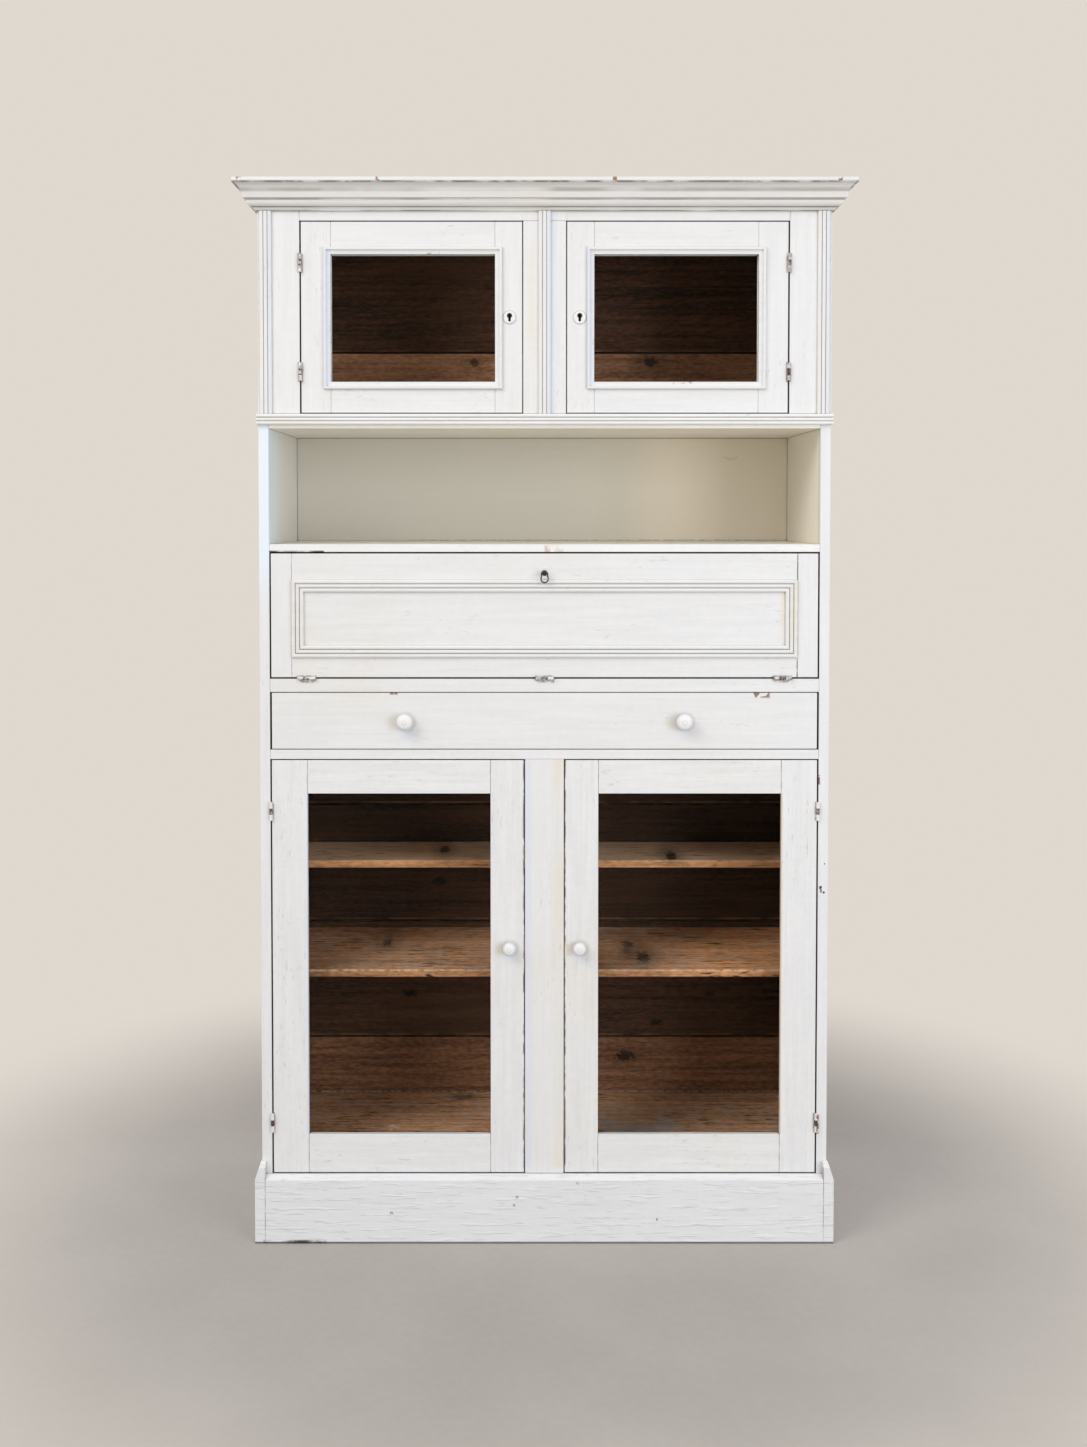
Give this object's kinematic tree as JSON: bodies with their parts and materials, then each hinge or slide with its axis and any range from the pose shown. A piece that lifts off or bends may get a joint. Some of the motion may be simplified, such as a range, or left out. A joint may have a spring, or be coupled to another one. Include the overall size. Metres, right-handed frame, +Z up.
{
  "type": "kitchen cupboard",
  "caption": "Painted pine kitchen cupboard with glazed doors above and below, an open niche, a fall flap on sliding stays and a long drawer.",
  "frame": {"origin": "on the floor, under the middle of the cupboard's box", "axes": "+Z up, +X to the viewer's right, the front faces -Y"},
  "size_m": [1.196, 0.437, 2.075],
  "materials": {
    "white_paint": "old white oil paint on pine, worn at the edges",
    "cream_paint": "yellowed cream paint in the niche",
    "raw_pine": "old unpainted pine, darkened to red-brown",
    "pale_pine": "unpainted pine inside the drawer",
    "iron": "dark old iron",
    "glass": "clear thin window glass"
  },
  "bodies": {
    "root": {"side_panel_left": "white_paint", "side_panel_right": "white_paint", "top_board": "white_paint", "cornice": "white_paint", "upper_face_frame": "white_paint", "lower_face_frame": "white_paint", "reeded_strip_left": "white_paint", "reeded_strip_centre": "white_paint", "reeded_strip_right": "white_paint", "upper_floor": "raw_pine", "waist_moulding": "white_paint", "niche_shelf": "cream_paint", "well_floor": "raw_pine", "flap_rail": "white_paint", "drawer_rail": "white_paint", "drawer_runner_left": "raw_pine", "drawer_runner_right": "raw_pine", "full_shelf": "raw_pine", "half_shelf": "raw_pine", "lower_floor": "raw_pine", "plinth": "white_paint", "upper_back": "raw_pine", "niche_back": "cream_paint", "lower_back": "raw_pine"},
    "upper_door_left": {"upper_door_left": "white_paint", "upper_glass_left": "glass", "sash_moulding_left": "white_paint", "lock_left": "iron", "escutcheon_left": "white_paint"},
    "bolt_left": {"bolt_left": "iron"},
    "lower_door_left": {"lower_door_left": "white_paint", "lower_glass_left": "glass", "glazing_bead_left": "raw_pine"},
    "latch_left": {"latch_left": "iron", "door_knob_left": "white_paint"},
    "upper_door_right": {"upper_door_right": "white_paint", "upper_glass_right": "glass", "sash_moulding_right": "white_paint", "lock_right": "iron", "escutcheon_right": "white_paint"},
    "bolt_right": {"bolt_right": "iron"},
    "lower_door_right": {"lower_door_right": "white_paint", "lower_glass_right": "glass", "glazing_bead_right": "raw_pine"},
    "latch_right": {"latch_right": "iron", "door_knob_right": "white_paint"},
    "flap": {"flap": "white_paint", "flap_moulding": "white_paint", "flap_lock": "iron"},
    "flap_bolt": {"flap_bolt": "iron"},
    "key": {"key": "iron"},
    "key_bow": {"key_bow": "iron"},
    "stay_bars": {"stay_bar_left": "iron", "stay_bar_right": "iron"},
    "stay_guides": {"stay_guide_left": "iron", "stay_guide_right": "iron"},
    "drawer": {"drawer_front": "white_paint", "drawer_box": "pale_pine", "drawer_knob_left": "white_paint", "drawer_knob_right": "white_paint"}
  },
  "joints": [
    {"name": "upper_door_left_hinge", "type": "hinge", "parent": "root", "child": "upper_door_left", "pos_m": [-0.4731, -0.1802, 1.629], "axis": [0, 0, -1], "range_deg": [0, 120]},
    {"name": "upper_bolt_left_slide", "type": "slide", "parent": "upper_door_left", "child": "bolt_left", "axis": [1, 0, 0], "range_m": [0, 0.008]},
    {"name": "lower_door_left_hinge", "type": "hinge", "parent": "root", "child": "lower_door_left", "pos_m": [-0.5345, -0.1802, 0.1355], "axis": [0, 0, -1], "range_deg": [0, 120]},
    {"name": "latch_left_turn", "type": "hinge", "parent": "lower_door_left", "child": "latch_left", "pos_m": [-0.069, -0.1765, 0.584], "axis": [0, -1, 0], "range_deg": [0, 90]},
    {"name": "upper_door_right_hinge", "type": "hinge", "parent": "root", "child": "upper_door_right", "pos_m": [0.4731, -0.1802, 1.629], "axis": [0, 0, 1], "range_deg": [0, 120]},
    {"name": "upper_bolt_right_slide", "type": "slide", "parent": "upper_door_right", "child": "bolt_right", "axis": [-1, 0, 0], "range_m": [0, 0.008]},
    {"name": "lower_door_right_hinge", "type": "hinge", "parent": "root", "child": "lower_door_right", "pos_m": [0.5345, -0.1802, 0.1355], "axis": [0, 0, 1], "range_deg": [0, 120]},
    {"name": "latch_right_turn", "type": "hinge", "parent": "lower_door_right", "child": "latch_right", "pos_m": [0.069, -0.1765, 0.584], "axis": [0, 1, 0], "range_deg": [0, 90]},
    {"name": "flap_fall", "type": "hinge", "parent": "root", "child": "flap", "pos_m": [0, -0.1802, 1.113], "axis": [1, 0, 0], "range_deg": [0, 90]},
    {"name": "stay_bar_pivot", "type": "hinge", "parent": "flap", "child": "stay_bars", "pos_m": [0, -0.1458, 1.259], "axis": [1, 0, 0], "range_deg": [-45, 0]},
    {"name": "stay_guide_swivel", "type": "hinge", "parent": "root", "child": "stay_guides", "pos_m": [0, -0.08378, 1.22791], "axis": [1, 0, 0], "range_deg": [0, 45]},
    {"name": "key_turn", "type": "hinge", "parent": "flap", "child": "key", "pos_m": [0, -0.1765, 1.318], "axis": [0, 1, 0], "range_deg": [0, 90]},
    {"name": "flap_bolt_slide", "type": "slide", "parent": "flap", "child": "flap_bolt", "axis": [0, 0, 1], "range_m": [0, 0.008]},
    {"name": "key_bow_swing", "type": "hinge", "parent": "key", "child": "key_bow", "pos_m": [0, -0.1915, 1.318], "axis": [-1, 0, 0], "range_deg": [0, 90]},
    {"name": "drawer_slide", "type": "slide", "parent": "root", "child": "drawer", "axis": [0, -1, 0], "range_m": [0, 0.3]}
  ],
  "couplings": [
    {"joint": "stay_bar_pivot", "follows": "flap_fall", "ratio": -0.5},
    {"joint": "stay_guide_swivel", "follows": "flap_fall", "ratio": 0.5},
    {"joint": "key_turn", "follows": "flap_bolt_slide", "rad_per_m": 196.34}
  ]
}
